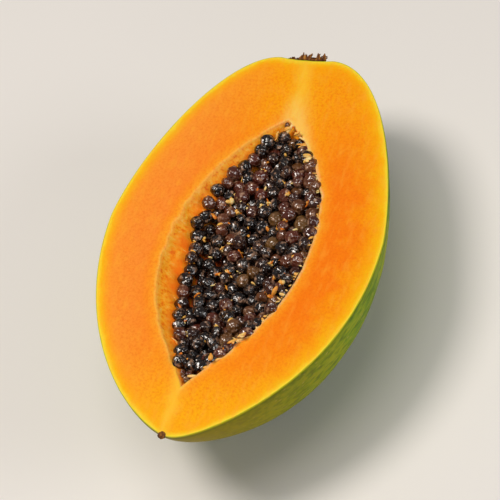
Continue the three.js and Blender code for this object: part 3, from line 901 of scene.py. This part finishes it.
# Torn placenta: moist, half clear, from cream through orange, as pale as the vessels in the flesh.
placenta, tree = new_material("papaya_placenta_threads")
tint = add(tree, "Attribute", attribute_name="tint").outputs["Fac"]
place = add(tree, "TexCoord").outputs["Object"]
stain = add(tree, "TexNoise", {"Vector": place, "Scale": 1 / (1.0 * MM), "Detail": 2.0})
tone = add(tree, "Math", {0: stain, 1: 0.5, 2: tint}, operation="MULTIPLY_ADD")
cream = add(tree, "ValToRGB", {"Fac": tone}, stops=(
    (0.25, "#FFDC96"),
    (1.25, "#D8741C"),
    (0.6, "#FFC060"),
    (0.95, "#F09A34"),
))
shader = add(tree, "BsdfPrincipled", {
    "Base Color": cream,
    "Roughness": 0.35,
    "IOR": 1.38,
    "Subsurface Weight": 0.3,
    "Subsurface Radius": (1.0, 0.5, 0.2),
    "Subsurface Scale": 1.0 * MM,
})
finish_material(tree, shader)
placenta_threads.data.materials.append(placenta)
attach(placenta_threads, "root")

# The stub of the stem: the corky end by which the fruit hung, dried since it was picked. A low disc is
# drawn out in rings, roughened and set with torn fibres, and the knife that halved the fruit halved it.

stub_low, stub_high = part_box("stem_stub")
STUB_RADIUS = (stub_high.y - stub_low.y) / 2
STUB_Y = (stub_high.y + stub_low.y) / 2
STUB_BASE = stub_low.x
STUB_HEIGHT = 3.6 * MM
STUB_RINGS = (  # rise in millimetres, and spread
    (0.5, 0.98), (0.6, 0.9), (0.7, 1.04), (0.5, 0.94), (-0.6, 0.7), (-0.5, 0.5),
)
STUB_TORN = (0.9 * MM, 1.3 * MM)  # height and size of the bumps on its torn end
STUB_WAVY = (0.5 * MM, 1.1 * MM)  # the same on its sides
FIBRES = 90
FIBRE_LENGTH = (1.4, 3.7)  # millimetres
FIBRE_ROOT = (0.4, 0.65)  # least and most radius at the root, in millimetres
FIBRE_TIP = (0.1, 0.3)  # the same at the torn end
deselect_all()
bpy.ops.mesh.primitive_circle_add(
    vertices=36, radius=STUB_RADIUS, fill_type="NGON", location=(STUB_BASE, STUB_Y, CUT_Z),
    rotation=(0, math.pi / 2, 0),
)
stub = bpy.context.object
bpy.ops.object.transform_apply(location=True, rotation=True, scale=False)
bpy.ops.object.mode_set(mode="EDIT")
for rise, spread in STUB_RINGS:
    bpy.ops.mesh.extrude_region_move(TRANSFORM_OT_translate={"value": (rise * MM, 0, 0)})
    bpy.ops.transform.resize(value=(1, spread, spread), center_override=(STUB_BASE, STUB_Y, CUT_Z))
bpy.ops.mesh.select_all(action="SELECT")
bpy.ops.mesh.normals_make_consistent(inside=False)
bpy.ops.object.mode_set(mode="OBJECT")
for vertex in stub.data.vertices:
    up = (vertex.co.x - STUB_BASE) / STUB_HEIGHT
    if up > 0.1:
        vertex.co.x += STUB_TORN[0] * up * noise.noise(vertex.co / STUB_TORN[1])
        vertex.co.y += STUB_WAVY[0] * up * noise.noise(vertex.co / STUB_WAVY[1] + Vector((9, 0, 0)))
        vertex.co.z += STUB_WAVY[0] * up * noise.noise(vertex.co / STUB_WAVY[1] + Vector((0, 9, 0)))


def torn_fibre(length, lean, where, root):
    bpy.ops.mesh.primitive_cone_add(
        vertices=6, radius1=draw.uniform(*root) * MM, radius2=draw.uniform(*FIBRE_TIP) * MM, depth=length,
        location=where, rotation=lean,
    )
    return bpy.context.object


def cut_with_the_fruit():
    """Takes away what stands above the cut from the active piece, and closes it there."""
    bpy.ops.object.mode_set(mode="EDIT")
    bpy.ops.mesh.select_all(action="SELECT")
    bpy.ops.mesh.bisect(plane_co=(0, 0, CUT_Z), plane_no=(0, 0, 1), use_fill=True, clear_outer=True)
    bpy.ops.object.mode_set(mode="OBJECT")


parts = [stub]
for _ in range(FIBRES):
    angle = draw.uniform(math.pi, 2 * math.pi)
    out = STUB_RADIUS * math.sqrt(draw.uniform(0.02, 0.85))
    length = draw.uniform(*FIBRE_LENGTH) * MM
    lean = Euler((0, math.pi / 2 + draw.uniform(-0.5, 0.5), draw.uniform(-0.6, 0.6)))
    where = (STUB_BASE + 0.4 * MM + length / 2, STUB_Y + out * math.cos(angle), CUT_Z + out * math.sin(angle))
    parts.append(torn_fibre(length, lean, where, FIBRE_ROOT))
stub = joined(parts, "stem_stub_torn")
cut_with_the_fruit()
bpy.ops.object.shade_flat()

# Dried stem tissue: corky and fibrous, dark where it tore and light brown on the fibres.
dry_stem, tree = new_material("papaya_stem_dried_torn")
place = add(tree, "TexCoord").outputs["Object"]
stretch = add(tree, "Mapping", {"Vector": place, "Scale": (0.3, 1, 1)})
bark = add(tree, "TexNoise", {"Vector": stretch, "Scale": 1 / (0.9 * MM), "Detail": 4.0})
brown = add(tree, "ValToRGB", {"Fac": bark}, stops=(
    (0.3, "#2C1402"),
    (0.75, "#C88A2C"),
    (0.5, "#74420C"),
))
relief = add(tree, "Bump", {"Height": bark, "Strength": 0.8, "Distance": 0.3 * MM})
shader = add(tree, "BsdfPrincipled", {
    "Base Color": brown,
    "Roughness": 0.85,
    "Normal": relief,
})
finish_material(tree, shader)
stub.data.materials.append(dry_stem)
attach(stub, "root")
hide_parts("stem_stub")

# The low collar beside the stub, where the stem's bark tore away from the fruit. It is of the same dry
# tissue, in shorter fibres that lean away from the stub and get shorter with the distance from it.

COLLAR_FIBRES = 40
COLLAR_WIDTH = 4.4 * MM
COLLAR_LENGTH = (0.8, 2.2)  # millimetres
COLLAR_ROOT = (0.35, 0.6)
COLLAR_SINK = (0.2, 2.6)  # millimetres below the cut
parts = []
for _ in range(COLLAR_FIBRES):
    beside = COLLAR_WIDTH * draw.random() ** 1.3
    length = draw.uniform(*COLLAR_LENGTH) * MM * (1 - 0.5 * beside / COLLAR_WIDTH)
    lean = Euler((0, math.pi / 2 + draw.uniform(-0.4, 0.4), draw.uniform(-0.2, 0.9)))
    sunk = draw.uniform(*COLLAR_SINK) * MM
    where = (STUB_BASE + 0.35 * length, STUB_Y + STUB_RADIUS + beside, CUT_Z - sunk)
    parts.append(torn_fibre(length, lean, where, COLLAR_ROOT))
collar = joined(parts, "stem_collar_fibres")
bpy.ops.object.transform_apply(location=True, rotation=True, scale=True)
cut_with_the_fruit()
bpy.ops.object.shade_flat()
collar.data.materials.append(dry_stem)
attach(collar, "root")

# The scar of the flower at the tip: a dry corky ring with a sunken middle, grown fast to the skin. A ball
# is dished on its outer side, roughened, and halved by the knife as the stub is.

scar_low, scar_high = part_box("blossom_scar")
SCAR_RADIUS = (scar_high.y - scar_low.y) / 2
SCAR_PLACE = (scar_low.x + SCAR_RADIUS, (scar_low.y + scar_high.y) / 2, CUT_Z)
DISH_RADIUS = 0.5  # of the sunken middle, as a share of the scar's
DISH_DEPTH = 0.9 * MM
SCAR_ROUGH = (0.12, 0.5 * MM)  # height of its bumps as a share of the place's distance, and their size
deselect_all()
bpy.ops.mesh.primitive_uv_sphere_add(
    segments=28, ring_count=16, radius=SCAR_RADIUS, location=SCAR_PLACE, rotation=(0, math.pi / 2, 0),
)
scar = bpy.context.object
scar.name = "blossom_scar_ring"
bpy.ops.object.transform_apply(location=True, rotation=True, scale=False)
for vertex in scar.data.vertices:
    off = vertex.co - Vector(SCAR_PLACE)
    from_axis = math.hypot(off.y, off.z) / SCAR_RADIUS
    if off.x < 0 and from_axis < DISH_RADIUS:
        vertex.co.x += DISH_DEPTH * (1 - (from_axis / DISH_RADIUS) ** 2)
    vertex.co += off * SCAR_ROUGH[0] * noise.noise(vertex.co / SCAR_ROUGH[1])
cut_with_the_fruit()
bpy.ops.object.shade_smooth_by_angle(angle=math.radians(50))
scar.data.materials.append(dry_stem)
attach(scar, "root")
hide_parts("blossom_scar")

# The floor and the studio light: a pale matt sheet, a large soft key light over the camera, a smaller
# one from the upper left of the picture that gives the seeds their glints, a soft fill from the right
# and a weak, even, pale surround.

deselect_all()
bpy.ops.mesh.primitive_plane_add(size=12)
floor = bpy.context.object
floor.name = "floor"
paper, tree = new_material("studio_paper_matt")
place = add(tree, "TexCoord").outputs["Object"]
tone = add(tree, "TexNoise", {"Vector": place, "Scale": 3.0, "Detail": 2.0})
pale = add(tree, "ValToRGB", {"Fac": tone}, stops=((0.3, "#E9E7E3"), (0.7, "#EDEBE8")))
shader = add(tree, "BsdfPrincipled", {"Base Color": pale, "Roughness": 0.75})
finish_material(tree, shader)
floor.data.materials.append(paper)

VIEW_BACK = Vector((-0.5702, -0.3271, 0.7536))  # from the object to the camera
VIEW_UP = Vector((0.7731, 0.0965, 0.6269))
VIEW_RIGHT = VIEW_UP.cross(VIEW_BACK)
TARGET = Vector((0.002, 0.0, 0.8 * CUT_Z))


def aimed(direction, up):
    """A turn that points an object's -Z against direction, with its Y along up."""
    back = direction.normalized()
    right = up.cross(back).normalized()
    return Matrix((right, back.cross(right), back)).transposed()


def add_light(name, direction, distance, size, power, colour):
    data = bpy.data.lights.new(name, "AREA")
    data.shape = "DISK"
    data.size = size
    data.energy = power
    data.color = linear(colour)[:3]
    lamp = bpy.data.objects.new(name, data)
    bpy.context.collection.objects.link(lamp)
    turn = aimed(direction, Vector((0, 0, 1))).to_4x4()
    lamp.matrix_world = Matrix.Translation(TARGET + direction.normalized() * distance) @ turn


add_light("key_light", VIEW_BACK * 0.8 + VIEW_UP * 0.5 - VIEW_RIGHT * 0.25, 1.3, 0.9, 5.2, "#FFF9F0")
add_light("glint_light", VIEW_BACK * 0.7 + VIEW_UP * 0.5 - VIEW_RIGHT * 0.6, 1.3, 0.45, 9.4, "#FFF6EE")
add_light("fill_light", VIEW_BACK * 0.6 + VIEW_RIGHT * 0.75 + VIEW_UP * 0.15, 1.6, 0.8, 7.2, "#FBF9FA")
world = bpy.data.worlds.new("pale_surround")
bpy.context.scene.world = world
world.use_nodes = True
world.node_tree.nodes["Background"].inputs["Color"].default_value = linear("#F2F2F4")
world.node_tree.nodes["Background"].inputs["Strength"].default_value = 0.15
bpy.context.scene.view_settings.view_transform = "Standard"

# The camera looks down on the cut face from where the photograph does. It stands about a metre away
# and looks through a long lens, so that the far end of the fruit hardly shrinks.

CAMERA_DISTANCE = 1.104
LENS = 215
camera_data = bpy.data.cameras.new("camera")
camera_data.lens = LENS
camera = bpy.data.objects.new("camera", camera_data)
bpy.context.collection.objects.link(camera)
camera_turn = aimed(VIEW_BACK, VIEW_UP).to_4x4()
camera.matrix_world = Matrix.Translation(TARGET + VIEW_BACK * CAMERA_DISTANCE) @ camera_turn
bpy.context.scene.camera = camera
